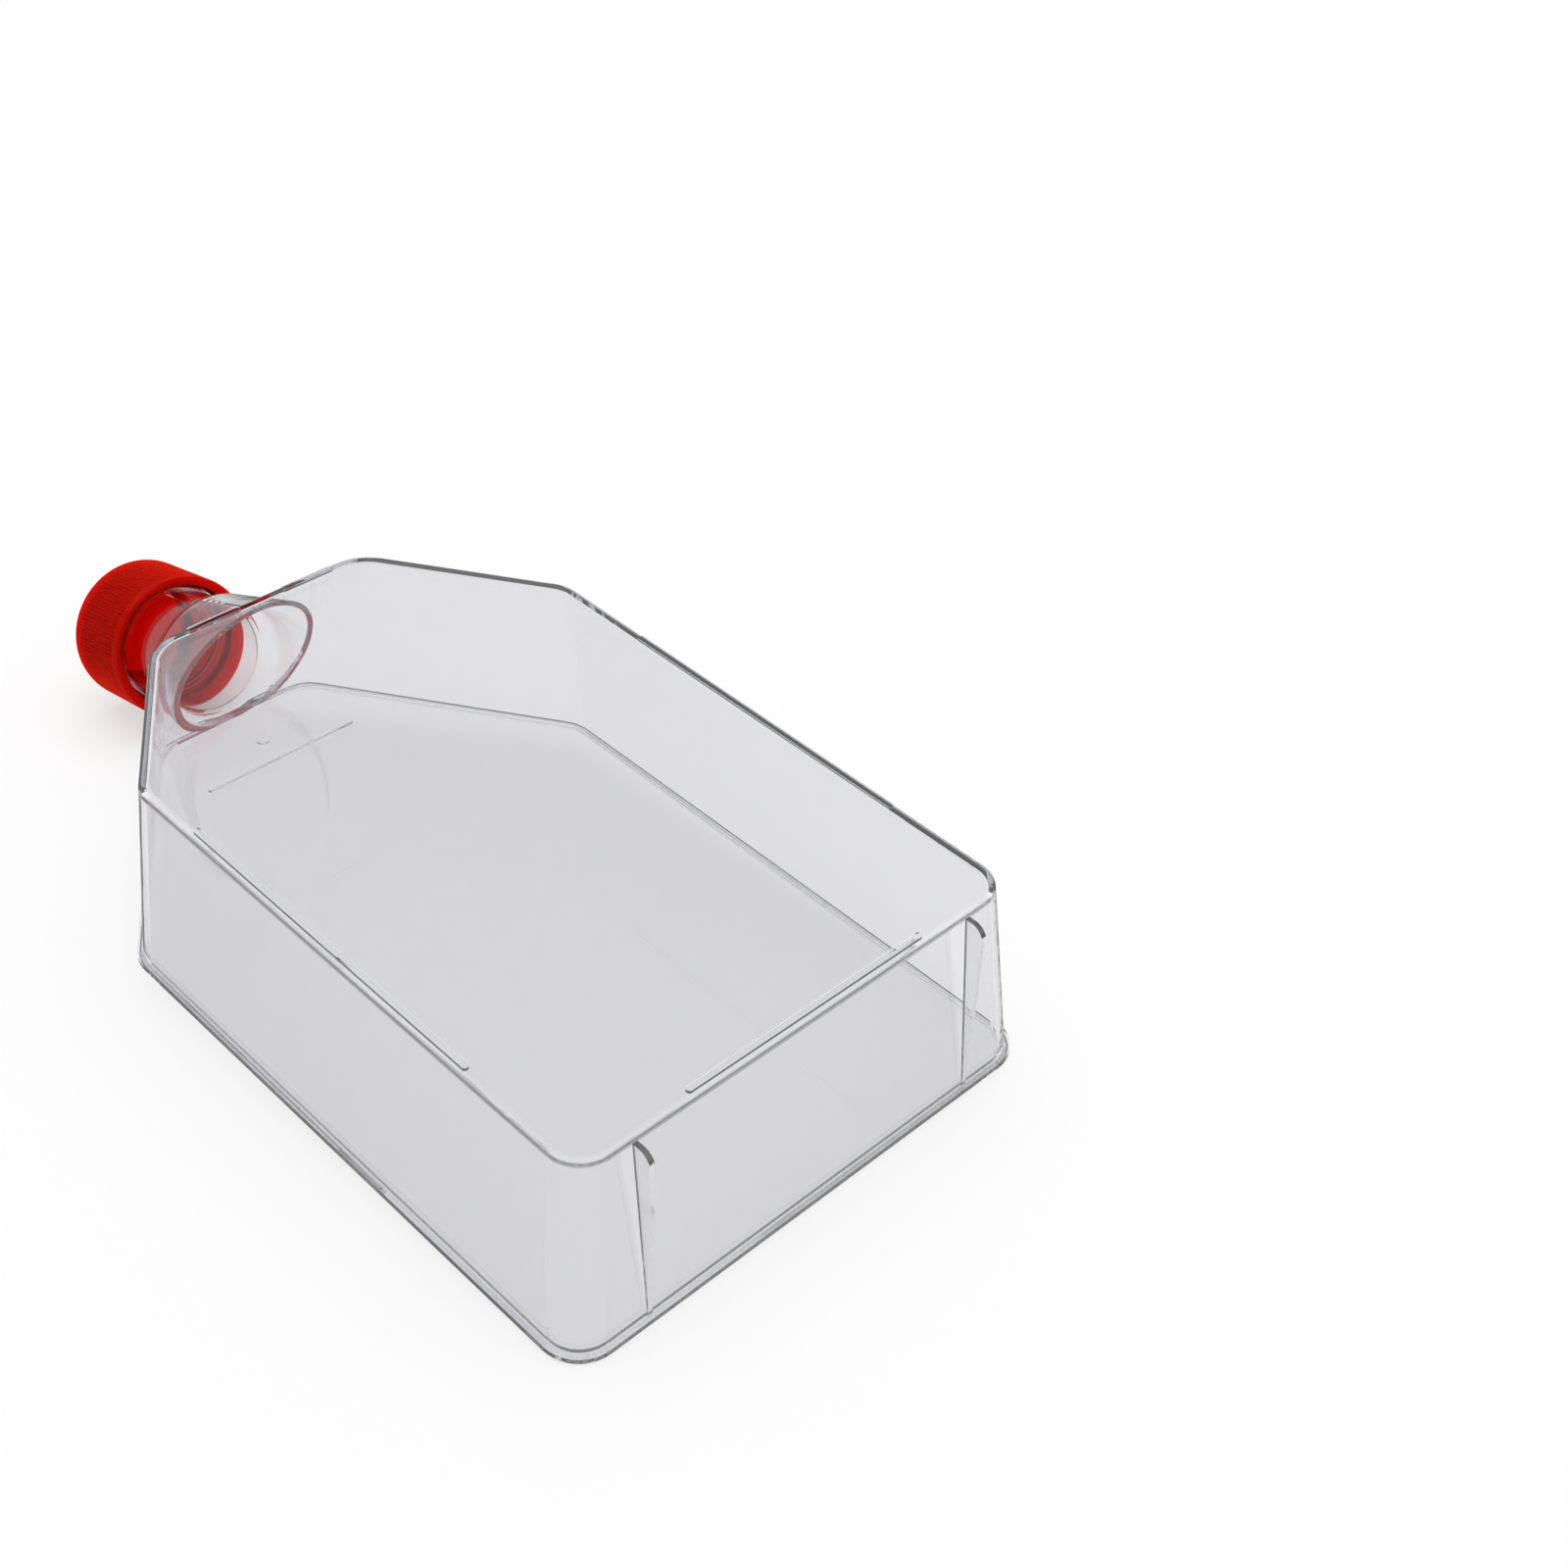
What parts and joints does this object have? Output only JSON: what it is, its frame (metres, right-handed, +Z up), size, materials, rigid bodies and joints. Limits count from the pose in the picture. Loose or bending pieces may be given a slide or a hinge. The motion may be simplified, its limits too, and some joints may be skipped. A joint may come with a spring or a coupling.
{
  "type": "cell culture flask",
  "caption": "Clear rectangular cell culture flask with bevelled shoulders, canted neck and red ribbed screw cap.",
  "frame": {"origin": "on the bench plane, under the middle of the whole flask's bounding box as it rests", "axes": "+X runs from the closed end to the capped neck, +Y is across the flask, +Z is up from the bench; the growth face is on top, as the flask lies on the edge of its lid and the edge of its cap"},
  "size_m": [0.2418, 0.1228, 0.0544],
  "materials": {
    "clear_polystyrene": "clear moulded polystyrene, polished, with pale grey edges",
    "red_polyethylene": "satin red polyethylene with fine grip ribs"
  },
  "bodies": {
    "flask": {"flask_body": "clear_polystyrene", "lid_plate": "clear_polystyrene"},
    "cap": {"screw_cap": "red_polyethylene"}
  },
  "joints": [
    {"name": "cap_off", "type": "slide", "parent": "flask", "child": "cap", "axis": [0.9791, 0, -0.2034], "range_m": [0, 0.024]}
  ]
}
